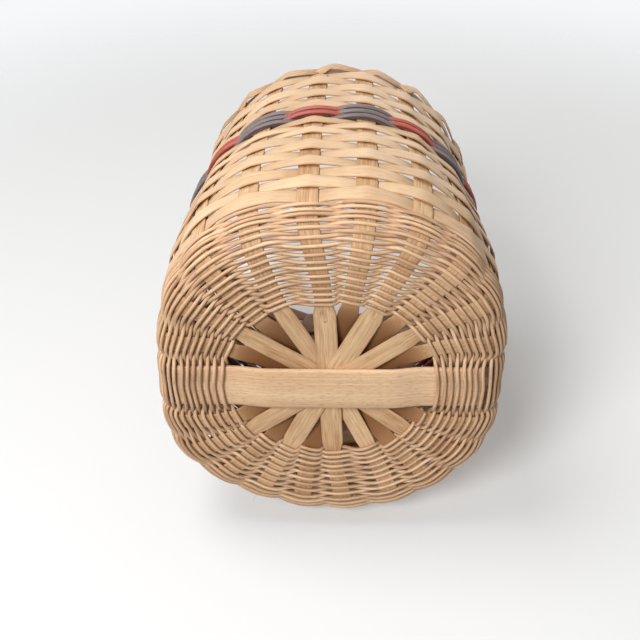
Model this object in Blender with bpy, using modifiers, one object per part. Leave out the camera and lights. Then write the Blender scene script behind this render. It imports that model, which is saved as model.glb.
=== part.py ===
"""Swing handle basket of flat and round reed on a bent wooden hoop.

Metres, +Z up. The origin is under the middle of the base, at the height of the surface that the
basket stands on. The hoop lies in the XZ plane, and the handle swings about the X axis through its
two pins. A path length along the basket's half section runs from the edge of the open middle of the
base (0), out over the base, round the corner and up the wall.
"""
import math

import bmesh
import bpy
from mathutils import Matrix, Vector

# Clearance between touching pieces
GAP = 0.0003

# Body, at the middle of the weave's thickness
BODY_HALF_WIDTH = 0.116          # from the middle to the hoop
BORDER_RISE = 0.0293             # from the top row to the border's peaks
WEAVE_START_RADIUS = 0.0665      # half width of the open middle of the base
CORNER_RADIUS = 0.014

# Hoop
HOOP_WIDTH = 0.0340
HOOP_THICKNESS = 0.0035
STRAND_LIFT = 0.0003             # the weavers that pass under the hoop stay clear of the ground
HOOP_DIP_END_SHARES = (0.80, 1.0)    # where the dip ends, in shares of WEAVE_START_RADIUS
EAR_RISE = 0.006                 # pin axis above the border's peaks
EAR_END = 0.013                  # hoop end above the pin axis
EAR_SHOULDER = 0.018             # from the border's peaks down to the foot of the ear
EAR_WIDTH = 0.026
EAR_LEAN = 0.0030                # the ears lean in by this much above the top row

# Splints, which are the ribs of the basket, each one from rim to rim through the base
SPLINT_THICKNESS = 0.0011
SPLINT_BASE_WIDTH = 0.0115
SPLINT_WALL_WIDTH = 0.0138
SPLINT_BASE_ANGLES = (24.4, 37.3, 50.6, 64.2, 88.0, 102.6, 116.8, 130.2, 143.1, 155.4)
SPLINT_WALL_PITCH = 360 / 22     # in the wall the ribs are almost evenly spread
SPLINT_WALL_TURN = 2.7           # and those in the middle of each side are turned on by this angle
SPLINT_LAYERS = (6, 3, 9, 4, 2, 8, 1, 7, 0, 5)
STACK_FLAT_RADIUS = 0.022        # the splints lie flat on each other inside this radius

# Weavers of round reed in the base and of dyed round reed in the band
REED_DIAMETER = 0.0025
DYED_REED_DIAMETER = 0.0042
BASE_TURNS = 10
BASE_WEAVER_FIRST_RIB = 1

# Rows of flat reed
REED_STRIP_THICKNESS = 0.0012
WIDE_STRIP = 0.0123
NARROW_STRIP = 0.0079
UPPER_STRIP = 0.0120
ROW_SPACE = 0.0006               # between the edges of two rows
WIDE_ROWS = 7
NARROW_ROWS = 3
UPPER_ROWS = 6
FIRST_ROW_HEIGHT = 0.0264        # lower edge of the first flat row
BAND_HEIGHT = 0.0249
BAND_ROWS = ("grey", "red", "grey", "red", "grey")

# Border: each splint's end is cut narrow, leans over to a peak and is tucked down inside
# Tall narrow ends and low wide ends take turns
LEG_WIDTHS = (0.0088, 0.0112)
LEG_RISES = (0.0060, 0.0070)     # from the top row up to the middle of a leg at its splint
PEAK_INSETS = (0.0061, 0.0140)   # from the border's top down to the middle of a folded leg
PEAK_LEAN_SHARES = (0.42, 0.54)
TUCK_LEAN_SHARES = (0.84, 1.00)
PEAK_FLARE_SHARE = 0.6           # of the step inwards, by which a peak stands out where it leans fully
TUCK_DEPTH = 0.020               # below the top row's upper edge
LEAN_BESIDE_HOOP_SHARES = (0.34, 0.82)   # of the lean elsewhere, next to the hoop and next but one

# Handle
HANDLE_RISE = 0.150              # from the pin axis to the middle of the grip
HANDLE_THICKNESS = 0.0050
HANDLE_LEG_WIDTH = 0.020
HANDLE_GRIP_WIDTH = 0.027
HANDLE_END = 0.012               # below the pin axis
HANDLE_STRAIGHT = 0.022          # above the pin axis
HANDLE_SQUARENESS = 2.6

# Pins
PIN_RADIUS = 0.0030
PIN_HEAD_RADIUS = 0.0070
PIN_HEAD_THICKNESS = 0.0022
PIN_CLINCH_RADIUS = 0.0046
PIN_CLINCH_THICKNESS = 0.0012
WASHER_RADIUS = 0.0075
WASHER_THICKNESS = 0.0012
CUT_OVERRUN = 0.010

# Plan of the wall from the corner up: height share, width share, depth over width, squareness
WALL_SECTION_SHARES = (
    (0.00, 1.000, 1.090, 2.45),
    (0.04, 1.000, 1.125, 2.55),
    (0.20, 1.000, 1.165, 2.52),
    (0.38, 0.983, 1.172, 2.35),
    (0.57, 0.965, 1.177, 2.20),
    (0.73, 0.950, 1.158, 2.12),
    (0.87, 0.960, 1.128, 2.09),
    (1.00, 0.955, 1.118, 2.08),
)
BASE_RATIO_SHARE = 0.97          # depth over width of the open middle of the base
REAR_RATIO_SHARE = 0.893         # of that ratio, on the side that is turned away
REAR_ROUNDING_SHARE = 0.10       # of the squareness, taken off round the foot of that side
ROUNDING_HEIGHT = 0.100
BASE_SQUARENESS_SHARE = 2.3

FLAT_REED_COLOUR = (0.80, 0.64, 0.42)

# Counts and shares of the meshes
CORNER_SEGMENTS = 6
EDGE_MARGIN_SHARE = 0.13         # of the free gap between two ribs
SLOPE_STEP_SHARE = 0.001
PIN_STEPS = 16

HOOP_PROUD = HOOP_THICKNESS - SPLINT_THICKNESS / 2
BASE_LEVEL = HOOP_PROUD + GAP + REED_DIAMETER + STRAND_LIFT
BASE_RUN = BODY_HALF_WIDTH - CORNER_RADIUS - WEAVE_START_RADIUS
CORNER_RUN = math.pi / 2 * CORNER_RADIUS
WALL_START = BASE_RUN + CORNER_RUN
CORNER_TOP = BASE_LEVEL + CORNER_RADIUS
SPLINT_COUNT = len(SPLINT_BASE_ANGLES)
RIB_COUNT = 2 * (SPLINT_COUNT + 1)
RIB_BASE_ANGLES = tuple(
    math.radians(angle + half)
    for half in (0.0, 180.0)
    for angle in (0.0,) + SPLINT_BASE_ANGLES
)
BAND_START = FIRST_ROW_HEIGHT + WIDE_ROWS * (WIDE_STRIP + ROW_SPACE)
BAND_START += NARROW_ROWS * (NARROW_STRIP + ROW_SPACE)
UPPER_START = BAND_START + BAND_HEIGHT
WEAVE_TOP = UPPER_START + UPPER_ROWS * (UPPER_STRIP + ROW_SPACE)
WIDE_PITCH = WIDE_STRIP + ROW_SPACE
NARROW_START = FIRST_ROW_HEIGHT + WIDE_ROWS * WIDE_PITCH
ROW_STOPS = (
    FIRST_ROW_HEIGHT,
    FIRST_ROW_HEIGHT + 2 * WIDE_PITCH,
    FIRST_ROW_HEIGHT + 4 * WIDE_PITCH,
    NARROW_START,
    BAND_START,
    UPPER_START,
    (UPPER_START + WEAVE_TOP) / 2,
)
BODY_HEIGHT = WEAVE_TOP + BORDER_RISE
PIN_HEIGHT = BODY_HEIGHT + EAR_RISE


def smooth(share):
    """Ease from 0 to 1."""
    share = min(max(share, 0.0), 1.0)
    return share * share * (3 - 2 * share)


def mix(start, end, share):
    return start + (end - start) * share


def wall_section(height):
    """Half width, ratio and squareness of the wall's plan at a height."""
    share = (height - CORNER_TOP) / (BODY_HEIGHT - CORNER_TOP)
    share = min(max(share, 0.0), 1.0)
    rows = zip(WALL_SECTION_SHARES, WALL_SECTION_SHARES[1:])
    low, high = next((a, b) for a, b in rows if share <= b[0])
    part = (share - low[0]) / (high[0] - low[0])
    width, ratio, squareness = (mix(a, b, part) for a, b in zip(low[1:], high[1:]))
    return BODY_HALF_WIDTH * width, ratio, squareness


def section(path):
    """Half width, height, ratio and squareness of the plan at a path length."""
    foot_ratio, foot_squareness = WALL_SECTION_SHARES[0][2:]
    blend = smooth(path / WALL_START)
    ratio = mix(BASE_RATIO_SHARE, foot_ratio, blend)
    squareness = mix(BASE_SQUARENESS_SHARE, foot_squareness, blend)
    if path <= BASE_RUN:
        return WEAVE_START_RADIUS + path, BASE_LEVEL, ratio, squareness
    if path <= WALL_START:
        turn = (path - BASE_RUN) / CORNER_RADIUS
        half_width = BODY_HALF_WIDTH - CORNER_RADIUS * (1 - math.sin(turn))
        return half_width, BASE_LEVEL + CORNER_RADIUS * (1 - math.cos(turn)), ratio, squareness
    height = CORNER_TOP + path - WALL_START
    half_width, ratio, squareness = wall_section(height)
    return half_width, height, ratio, squareness


def path_at_height(height):
    return WALL_START + height - CORNER_TOP


def surface_point(angle, path):
    half_width, height, ratio, squareness = section(path)
    if math.sin(angle) > 0:
        ratio *= mix(REAR_RATIO_SHARE, 1.0, smooth(path / WALL_START))
        foot = smooth(path / WALL_START) * (1 - smooth((path - WALL_START) / ROUNDING_HEIGHT))
        squareness *= 1 - REAR_ROUNDING_SHARE * foot
    across = abs(math.cos(angle)) ** squareness + abs(math.sin(angle) / ratio) ** squareness
    radius = half_width * across ** (-1 / squareness)
    return Vector((radius * math.cos(angle), radius * math.sin(angle), height))


def is_hoop(rib):
    return rib % (RIB_COUNT // 2) == 0


def rib_angle(rib, path):
    wall_angle = math.radians(rib * SPLINT_WALL_PITCH)
    wall_angle += math.radians(SPLINT_WALL_TURN) * math.sin(wall_angle) ** 2
    return mix(RIB_BASE_ANGLES[rib], wall_angle, smooth(path / WALL_START))


def rib_width(rib, path):
    if is_hoop(rib):
        return HOOP_WIDTH
    return mix(SPLINT_BASE_WIDTH, SPLINT_WALL_WIDTH, smooth(path / WALL_START))


def directions(angle, path):
    """Side, rise and outward directions of the basket's surface."""
    step = SLOPE_STEP_SHARE * BODY_HALF_WIDTH
    rise = surface_point(angle, path + step) - surface_point(angle, path - step)
    if path < BASE_RUN:
        rise = Vector((math.cos(angle), math.sin(angle), 0))
    side = surface_point(angle + SLOPE_STEP_SHARE, path) - surface_point(angle - SLOPE_STEP_SHARE, path)
    square_side = Vector((-math.sin(angle), math.cos(angle), 0))
    turned = smooth((path - BASE_RUN) / CORNER_RUN)
    side = square_side.lerp(side.normalized(), turned).normalized()
    rise = (rise - side * rise.dot(side)).normalized()
    return side, rise, side.cross(rise)


class RibLine:
    """One rib from the edge of the open middle up to the top row, straight between its stations."""

    def __init__(self, rib):
        self.paths = half_section_paths(WEAVE_TOP)
        self.stations = []
        for path in self.paths:
            angle = rib_angle(rib, path)
            side, rise, outward = directions(angle, path)
            half_side = side * rib_width(rib, path) / 2
            self.stations.append((surface_point(angle, path), half_side, outward))

    def at(self, path):
        """Middle, half width to the side and outward direction at a path length."""
        index = next((i for i, stop in enumerate(self.paths[1:]) if path <= stop), len(self.paths) - 2)
        share = (path - self.paths[index]) / (self.paths[index + 1] - self.paths[index])
        pairs = zip(self.stations[index], self.stations[index + 1])
        return tuple(low.lerp(high, share) for low, high in pairs)


def free_gap(rib, neighbour, path):
    """Open space between a rib's edge and its neighbour's at a path length."""
    middle, half_side = RIBS[rib].at(path)[:2]
    other, other_half_side = RIBS[neighbour].at(path)[:2]
    return (other - middle).length - half_side.length - other_half_side.length


def crossing(rib, path, outside, half_thickness):
    """The two points at which a weaver enters and leaves a rib that it passes."""
    middle, half_side, outward = RIBS[rib].at(path)
    outer_face = HOOP_PROUD if is_hoop(rib) else SPLINT_THICKNESS / 2
    if outside:
        offset = outer_face + GAP + half_thickness
    else:
        offset = -(SPLINT_THICKNESS / 2 + GAP + half_thickness)
    points = []
    for direction in (-1, 1):
        neighbour = (rib + direction) % RIB_COUNT
        margin = EDGE_MARGIN_SHARE * free_gap(rib, neighbour, path)
        reach = half_side + half_side.normalized() * margin
        points.append(middle + reach * direction + outward * offset)
    return points


def new_material(name, colour, roughness, metallic=0.0):
    material = bpy.data.materials.new(name)
    material.use_nodes = True
    shader = material.node_tree.nodes["Principled BSDF"]
    shader.inputs["Base Color"].default_value = (*colour, 1)
    shader.inputs["Roughness"].default_value = roughness
    shader.inputs["Metallic"].default_value = metallic
    return material


def add_object(name, data, material, collection):
    item = bpy.data.objects.new(name, data)
    data.materials.append(material)
    collection.objects.link(item)
    return item


def add_thickness(item, thickness):
    solid = item.modifiers.new("thickness", "SOLIDIFY")
    solid.thickness = thickness
    solid.offset = 0


def strip_object(name, edges, thickness, closed, material, collection):
    """A strip of flat stock between two edges, given as pairs of points along it."""
    bm = bmesh.new()
    if closed:
        bmesh.ops.create_circle(bm, segments=len(edges), radius=BODY_HALF_WIDTH)
        first = sorted(bm.verts, key=lambda vert: vert.index)
        bm.edges.ensure_lookup_table()
        for vert, pair in zip(first, edges):
            vert.co = pair[0]
        made = bmesh.ops.extrude_edge_only(bm, edges=bm.edges[:])
        second = [item for item in made["geom"] if isinstance(item, bmesh.types.BMVert)]
        for vert in second:
            index = min(range(len(edges)), key=lambda i: (vert.co - edges[i][0]).length)
            vert.co = edges[index][1]
    else:
        bmesh.ops.create_grid(bm, x_segments=1, y_segments=len(edges) - 1, size=1)
        rows = sorted(bm.verts, key=lambda vert: (vert.co.y, vert.co.x))
        for index, pair in enumerate(edges):
            rows[2 * index].co = pair[0]
            rows[2 * index + 1].co = pair[1]
    bmesh.ops.recalc_face_normals(bm, faces=bm.faces[:])
    mesh = bpy.data.meshes.new(name)
    bm.to_mesh(mesh)
    bm.free()
    item = add_object(name, mesh, material, collection)
    add_thickness(item, thickness)
    return item


def reed_object(name, points, diameter, closed, material, collection):
    """A strand of round reed through a list of points."""
    curve = bpy.data.curves.new(name, "CURVE")
    curve.dimensions = "3D"
    curve.bevel_depth = diameter / 2
    curve.bevel_resolution = 0
    curve.use_fill_caps = True
    spline = curve.splines.new("POLY")
    spline.use_cyclic_u = closed
    spline.points.add(len(points) - 1)
    for target, point in zip(spline.points, points):
        target.co = (*point, 1)
    return add_object(name, curve, material, collection)


def base_weaver(name, parity, material, collection):
    """One of the two round reeds that chase each other over and under the ribs of the base."""
    lowest = REED_DIAMETER / 2 + GAP
    highest = path_at_height(FIRST_ROW_HEIGHT) - REED_DIAMETER / 2 - GAP
    pitch = (highest - lowest) / (2 * BASE_TURNS + 1)
    points = []
    for step in range(BASE_TURNS * RIB_COUNT):
        rib = (BASE_WEAVER_FIRST_RIB + step) % RIB_COUNT
        path = lowest + pitch * (parity + 2 * step / RIB_COUNT)
        points += crossing(rib, path, rib % 2 == parity, REED_DIAMETER / 2)
    reed_object(name, points, REED_DIAMETER, False, material, collection)


def band_row(name, path, parity, material, collection):
    points = []
    for rib in range(RIB_COUNT):
        points += crossing(rib, path, rib % 2 == parity, DYED_REED_DIAMETER / 2)
    reed_object(name, points, DYED_REED_DIAMETER, True, material, collection)


def flat_row(name, height, strip, parity, collection):
    """One closed row of flat reed whose lower edge is at a height."""
    low = path_at_height(height + ROW_SPACE / 2)
    edges = []
    for rib in range(RIB_COUNT):
        outside = rib % 2 == parity
        lower = crossing(rib, low, outside, REED_STRIP_THICKNESS / 2)
        upper = crossing(rib, low + strip, outside, REED_STRIP_THICKNESS / 2)
        edges += list(zip(lower, upper))
    material = new_material(name, FLAT_REED_COLOUR, 0.60)
    strip_object(name, edges, REED_STRIP_THICKNESS, True, material, collection)


def flat_rows(prefix, start, strip, count, first_number, first_parity, collection):
    for index in range(count):
        height = start + index * (strip + ROW_SPACE)
        name = f"{prefix}_{first_number + index:02d}"
        flat_row(name, height, strip, (first_parity + index) % 2, collection)


def half_section_paths(top):
    """Path lengths from the open middle's edge to a height, close together round the corner."""
    corner = [BASE_RUN + CORNER_RUN * step / CORNER_SEGMENTS for step in range(CORNER_SEGMENTS + 1)]
    wall = [path_at_height(height) for height in ROW_STOPS if height < top]
    return [0.0] + corner + wall + [path_at_height(top)]


def splint_half(rib, layer, full_lean):
    """Edge pairs of one half of a splint, from the middle of the base to its tucked end."""
    angle = RIB_BASE_ANGLES[rib]
    half_side = Vector((-math.sin(angle), math.cos(angle), 0)) * SPLINT_BASE_WIDTH / 2
    run = Vector((math.cos(angle), math.sin(angle), 0))
    lift = layer * (SPLINT_THICKNESS + GAP)
    edges = []
    for radius in (0.0, STACK_FLAT_RADIUS):
        middle = run * radius + Vector((0, 0, BASE_LEVEL + lift))
        edges.append((middle - half_side, middle + half_side))
    for middle, half_side, outward in RIBS[rib].stations:
        edges.append((middle - half_side, middle + half_side))
    return edges + border_leg(rib_angle(rib, WALL_START), full_lean, rib % 2)


def border_leg(angle, full_lean, kind):
    """Edge pairs of the narrow end: up to the peak, over it and down inside the top rows."""
    inside = SPLINT_THICKNESS + 2 * GAP + REED_STRIP_THICKNESS
    shoulder = WEAVE_TOP + LEG_RISES[kind]
    tuck_lean = TUCK_LEAN_SHARES[kind]
    stops = (
        (0.0, shoulder, 0.0),
        (PEAK_LEAN_SHARES[kind], BODY_HEIGHT - PEAK_INSETS[kind], -PEAK_FLARE_SHARE * full_lean),
        (tuck_lean, shoulder, 1.0),
        (tuck_lean, WEAVE_TOP - TUCK_DEPTH, 1.0),
    )
    centres = []
    for lean, height, inward in stops:
        leaned = angle + math.radians(SPLINT_WALL_PITCH) * full_lean * lean
        side, rise, outward = directions(leaned, path_at_height(height))
        middle = surface_point(leaned, path_at_height(height)) - outward * inside * inward
        centres.append((middle, rise, outward))
    pairs = []
    for index, (middle, rise, outward) in enumerate(centres):
        before = (middle - centres[index - 1][0]).normalized() if index else rise
        after = (centres[index + 1][0] - middle).normalized() if index + 1 < len(centres) else before
        run = (before + after).normalized()
        across = run.cross(outward).normalized()
        mitre = 1 / max(across.cross(after).length, SHARP_MITRE_SHARE)
        half_side = across * LEG_WIDTHS[kind] / 2 * mitre
        pairs.append((middle + half_side, middle - half_side))
    return pairs


SHARP_MITRE_SHARE = 0.7


def splint(number, material, collection):
    rib = number + 1
    opposite = rib + SPLINT_COUNT + 1
    full_lean = 1.0
    for steps, share in enumerate(LEAN_BESIDE_HOOP_SHARES, 1):
        if is_hoop(rib + steps):
            full_lean *= share
    near = splint_half(rib, SPLINT_LAYERS[number], full_lean)
    far = splint_half(opposite, SPLINT_LAYERS[number], full_lean)
    far = [(right, left) for left, right in far]
    edges = far[:0:-1] + near
    strip_object(f"base_splint_{number + 1:02d}", edges, SPLINT_THICKNESS, False, material, collection)


def across_stations(stations):
    """Edge pairs of a strip in the XZ plane, from points along it and its width there."""
    pairs = []
    for point, width in stations:
        half_side = Vector((0, width / 2, 0))
        pairs.append((point - half_side, point + half_side))
    return pairs


def hoop_edges():
    """Edge pairs of the hoop's +X half from the middle of the base to the end of its ear."""
    centre_offset = HOOP_PROUD - HOOP_THICKNESS / 2
    stations = []
    dip_end, rise_end = (share * WEAVE_START_RADIUS for share in HOOP_DIP_END_SHARES)
    ground = HOOP_THICKNESS / 2
    for x, level in ((0.0, ground), (dip_end, ground), (rise_end, BASE_LEVEL - centre_offset)):
        stations.append((Vector((x, 0, level)), HOOP_WIDTH))
    for middle, half_side, outward in RIBS[0].stations[1:]:
        stations.append((middle + outward * centre_offset, HOOP_WIDTH))
    top = stations[-1][0].x - EAR_LEAN
    ear_start = BODY_HEIGHT - EAR_SHOULDER
    stations.append((Vector((top, 0, ear_start)), EAR_WIDTH))
    stations.append((Vector((top, 0, PIN_HEIGHT)), EAR_WIDTH))
    for turn_share in (0.35, 0.65, 0.90):
        turn = turn_share * math.pi / 2
        height = PIN_HEIGHT + EAR_END * math.sin(turn)
        stations.append((Vector((top, 0, height)), EAR_WIDTH * math.cos(turn)))
    return across_stations(stations)


def whole_strip(half):
    """Both halves of a strip that is given from the middle out along +X."""
    mirrored = [tuple(Vector((-point.x, point.y, point.z)) for point in pair) for pair in half[:0:-1]]
    return mirrored + half


def hoop_face_x():
    """Outer face of the hoop's ear."""
    return RIBS[0].stations[-1][0].x - EAR_LEAN + HOOP_PROUD


def bore_cutter(name, radius, collection):
    """A round cutter through both ears on the pin axis."""
    length = 2 * (hoop_face_x() + HANDLE_THICKNESS + CUT_OVERRUN)
    bm = bmesh.new()
    bmesh.ops.create_cone(
        bm, cap_ends=True, segments=PIN_STEPS, radius1=radius, radius2=radius, depth=length
    )
    mesh = bpy.data.meshes.new(name)
    bm.to_mesh(mesh)
    bm.free()
    cutter = bpy.data.objects.new(name, mesh)
    cutter.rotation_euler = (0, math.pi / 2, 0)
    cutter.location = (0, 0, PIN_HEIGHT)
    cutter.hide_render = True
    cutter.display_type = "WIRE"
    collection.objects.link(cutter)
    return cutter


def add_bore(item, cutter):
    cut = item.modifiers.new("bore", "BOOLEAN")
    cut.operation = "DIFFERENCE"
    cut.solver = "EXACT"
    cut.object = cutter


def handle_edges():
    """Edge pairs of the bent bow's +X half, given from the middle of the grip down."""
    half_width = hoop_face_x() + GAP + HANDLE_THICKNESS / 2
    power = 2 / HANDLE_SQUARENESS
    stations = []
    for turn_share in (1.0, 0.93, 0.85, 0.76, 0.66, 0.56, 0.46, 0.36, 0.26, 0.16):
        turn = turn_share * math.pi / 2
        x = half_width * max(math.cos(turn), 0.0) ** power
        rise = HANDLE_RISE * math.sin(turn) ** power
        width = mix(HANDLE_LEG_WIDTH, HANDLE_GRIP_WIDTH, smooth(turn_share))
        stations.append((Vector((x, 0, PIN_HEIGHT + rise)), width))
    stations.append((Vector((half_width, 0, PIN_HEIGHT + HANDLE_STRAIGHT)), HANDLE_LEG_WIDTH))
    for turn_share in (0.0, 0.35, 0.65, 0.90):
        turn = turn_share * math.pi / 2
        height = PIN_HEIGHT - HANDLE_END * math.sin(turn)
        stations.append((Vector((half_width, 0, height)), HANDLE_LEG_WIDTH * math.cos(turn)))
    return across_stations(stations)


def turned_object(name, profile, ring, place, turn, material, collection):
    """A turned piece: an outline of radius and height, closed by the screw about its axis."""
    bm = bmesh.new()
    verts = [bm.verts.new((radius, 0, height)) for radius, height in profile]
    ends = verts[1:] + verts[:1] if ring else verts[1:]
    for start, end in zip(verts, ends):
        bm.edges.new((start, end))
    mesh = bpy.data.meshes.new(name)
    bm.to_mesh(mesh)
    bm.free()
    item = add_object(name, mesh, material, collection)
    item.location = place
    item.rotation_euler = turn
    screw = item.modifiers.new("turning", "SCREW")
    screw.steps = PIN_STEPS
    screw.render_steps = PIN_STEPS
    screw.use_merge_vertices = True
    screw.merge_threshold = SCREW_MERGE
    return item


SCREW_MERGE = 0.00001


def pin_and_washer(side_name, direction, material, collection):
    """The pin's own axis points from the inside of the basket to the outside."""
    inner_face = -HOOP_THICKNESS
    washer_face = inner_face - GAP - WASHER_THICKNESS
    clinch_top = washer_face - GAP
    clinch_end = clinch_top - PIN_CLINCH_THICKNESS
    head_face = GAP + HANDLE_THICKNESS + GAP
    head_end = head_face + PIN_HEAD_THICKNESS
    dome_radius = PIN_HEAD_RADIUS / 2
    profile = (
        (0, head_end),
        (dome_radius, head_end),
        (PIN_HEAD_RADIUS, head_face + PIN_HEAD_THICKNESS / 2),
        (PIN_HEAD_RADIUS, head_face),
        (PIN_RADIUS, head_face),
        (PIN_RADIUS, clinch_top),
        (PIN_CLINCH_RADIUS, clinch_top),
        (PIN_CLINCH_RADIUS, clinch_end),
        (0, clinch_end),
    )
    place = (direction * hoop_face_x(), 0, PIN_HEIGHT)
    turn = (0, direction * math.pi / 2, 0)
    turned_object(f"pivot_pin_{side_name}", profile, False, place, turn, material, collection)
    bore = PIN_RADIUS + GAP
    ring = (
        (bore, inner_face - GAP),
        (WASHER_RADIUS, inner_face - GAP),
        (WASHER_RADIUS, washer_face),
        (bore, washer_face),
    )
    turned_object(f"pin_washer_{side_name}", ring, True, place, turn, material, collection)


def main():
    for item in list(bpy.data.objects):
        bpy.data.objects.remove(item)
    basket = bpy.data.collections.new("swing_handle_basket")
    cutters = bpy.data.collections.new("cutters")
    bpy.context.scene.collection.children.link(basket)
    bpy.context.scene.collection.children.link(cutters)

    hoop_cutter = bore_cutter("bore_cutter", PIN_RADIUS + GAP, cutters)
    hoop = strip_object(
        "frame_hoop", whole_strip(hoop_edges()), HOOP_THICKNESS, False,
        new_material("hoop_wood", (0.62, 0.45, 0.27), 0.55), basket
    )
    add_bore(hoop, hoop_cutter)
    handle = strip_object(
        "swing_handle", whole_strip(handle_edges()), HANDLE_THICKNESS, False,
        new_material("handle_wood", (0.60, 0.43, 0.26), 0.50), basket
    )
    add_bore(handle, hoop_cutter)
    for side_name, direction in (("left", -1), ("right", 1)):
        metal = new_material(f"pin_metal_{side_name}", (0.62, 0.46, 0.22), 0.35, 1.0)
        pin_and_washer(side_name, direction, metal, basket)

    for number in range(SPLINT_COUNT):
        splint(number, new_material(f"splint_reed_{number + 1:02d}", (0.72, 0.56, 0.36), 0.60), basket)

    for parity, letter in enumerate("ab"):
        material = new_material(f"base_reed_{letter}", (0.62, 0.46, 0.29), 0.65)
        base_weaver(f"base_weaver_{letter}", parity, material, basket)
    flat_rows("wall_row", FIRST_ROW_HEIGHT, WIDE_STRIP, WIDE_ROWS, 1, 1, basket)
    flat_rows("wall_row", NARROW_START, NARROW_STRIP, NARROW_ROWS, 1 + WIDE_ROWS, 0, basket)
    colours = {"red": (0.50, 0.13, 0.09), "grey": (0.22, 0.18, 0.19)}
    pitch = BAND_HEIGHT / len(BAND_ROWS)
    for index, dye in enumerate(BAND_ROWS):
        material = new_material(f"{dye}_reed_{index + 1}", colours[dye], 0.60)
        path = path_at_height(BAND_START + (index + 0.5) * pitch)
        band_row(f"band_row_{index + 1}_{dye}", path, (index + 1) % 2, material, basket)
    flat_rows("upper_row", UPPER_START, UPPER_STRIP, UPPER_ROWS, 1, 0, basket)


RIBS = tuple(RibLine(rib) for rib in range(RIB_COUNT))
main()
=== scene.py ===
# Looks of a swing handle basket: flat and round reed woven over a bent wooden hoop.
# Metres, +Z up. The camera looks at the underside, as when the basket lies on its side.
import math
import random

import bmesh
import bpy
import numpy as np
from mathutils import Matrix, Vector


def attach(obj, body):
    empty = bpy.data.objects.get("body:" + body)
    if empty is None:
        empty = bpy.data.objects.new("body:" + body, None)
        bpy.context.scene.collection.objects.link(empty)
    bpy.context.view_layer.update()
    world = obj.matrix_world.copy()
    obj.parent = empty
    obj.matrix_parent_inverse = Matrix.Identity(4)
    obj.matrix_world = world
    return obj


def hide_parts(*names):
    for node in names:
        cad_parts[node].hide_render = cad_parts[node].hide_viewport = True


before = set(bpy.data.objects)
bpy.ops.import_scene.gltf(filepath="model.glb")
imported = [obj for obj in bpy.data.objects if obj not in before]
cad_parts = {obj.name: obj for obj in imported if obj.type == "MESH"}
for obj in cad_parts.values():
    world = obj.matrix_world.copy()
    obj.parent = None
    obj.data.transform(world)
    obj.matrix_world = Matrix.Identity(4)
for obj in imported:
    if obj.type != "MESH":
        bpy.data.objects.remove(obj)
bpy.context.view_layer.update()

random.seed(7)


def tint(red, green, blue):  # a colour as read on a screen, 0 to 255
    return tuple(((value / 255 + 0.055) / 1.055) ** 2.4 for value in (red, green, blue)) + (1,)


ribCount = 22  # the two ends of the hoop and the two halves of ten splints

# the body of the basket, at the middle of the weave
body = {
    "halfWidth": 0.116,
    "weaveStart": 0.0665,  # half width of the open middle of the base
    "cornerRadius": 0.014,
    "level": 0.00605,  # height of the middle of the base above the ground
    "ribTurn": 2 * math.pi / ribCount,
    "wallTurn": math.radians(2.7),  # how far the middle ribs of each side stray from even spacing
    "baseAngles": (24.4, 37.3, 50.6, 64.2, 88.0, 102.6, 116.8, 130.2, 143.1, 155.4),  # of the splints
    "middleRatio": 0.97,  # depth over width of the open middle
    "middleSquareness": 2.3,
    "rearShare": 0.893,  # the far half of the open middle is shallower
    "rearRounding": 0.10,  # and the far corners of the foot are rounder
    "roundingHeight": 0.100,
    "endDent": 0.0030,  # how far the hoop draws the ends in at the foot of the wall
    "dentReach": 0.22,
    "dentHeight": 0.060,
    "swells": (  # angle, reach and size of the places where the foot bulges or falls in
        (2.64, 0.32, 0.0062),
        (0.42, 0.24, 0.0032),
        (5.83, 0.35, 0.0035),
        (1.95, 0.22, -0.0022),
    ),
    "swellHeight": 0.140,
    "wallPlan": (  # height share, width share, depth over width, squareness
        (0.00, 1.000, 1.090, 2.45),
        (0.04, 1.000, 1.125, 2.55),
        (0.20, 1.000, 1.165, 2.52),
        (0.38, 0.983, 1.172, 2.35),
        (0.57, 0.965, 1.177, 2.20),
        (0.73, 0.950, 1.158, 2.12),
        (0.87, 0.960, 1.128, 2.09),
        (1.00, 0.955, 1.118, 2.08),
    ),
    "height": 0.272,
    "firstRow": 0.0264,
    "bandStart": 0.1422,  # the dyed band
    "upperStart": 0.1635,  # the rows above it
    "weaveTop": 0.2427,
}
hoop = {
    "width": 0.0338,
    "thick": 0.0035,
    "proud": 0.00295,  # how far its outer face stands out from the middle of the weave
    "flat": 0.0400,  # half length of the part that rests on the ground
    "flatSteps": 24,
    "riseSteps": 16,
    "wallStep": 0.0025,
    "earLean": 0.003,
    "earWidth": 0.026,
    "earFoot": 0.254,
    "earSteps": 8,
    "pinHeight": 0.278,
    "bore": 0.0033,  # radius of the hole for the pin
    "boreLong": 0.3,  # through both ears at once
}
splint = {
    "thick": 0.0011,
    "starWidths": (0.0135, 0.0142, 0.0130, 0.0132, 0.0152, 0.0138, 0.0156, 0.0132, 0.0148, 0.0136),
    "tightWidth": 0.0118,  # where the base is woven
    "wallWidth": 0.0142,
    "layers": (6, 3, 9, 4, 2, 8, 1, 7, 0, 5),  # order of the stack in the middle of the star
    "layerRise": 0.0014,
    "stackFlat": 0.022,
    "starSteps": 34,
    "baseStep": 0.0022,
    "wallStep": 0.0032,
    "taperStart": 0.006,  # how far before the weave a splint starts to narrow
    "taper": 0.010,
    # kept low as painted shade, for where the splints show between the rows and strands
    "tone": 0.36,
    "toneSpread": 0.12,
    "toneWander": 0.25,
    "topLayer": 4,  # the splints up to this layer are in front, seen from below
    "litFrontTone": 0.20,
    "backShadeTone": -1.3,  # the splints behind them are painted darker, as painted shade; the tone above paints those in front lighter, as painted light
    "starReach": 0.068,
    "starEdge": 12,
    "tuckedShadeTone": -0.9,  # the tucked ends are painted darker too, as painted shade
    "tuckedSteps": 20,
    "tuckedEdge": 6,
}
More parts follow.
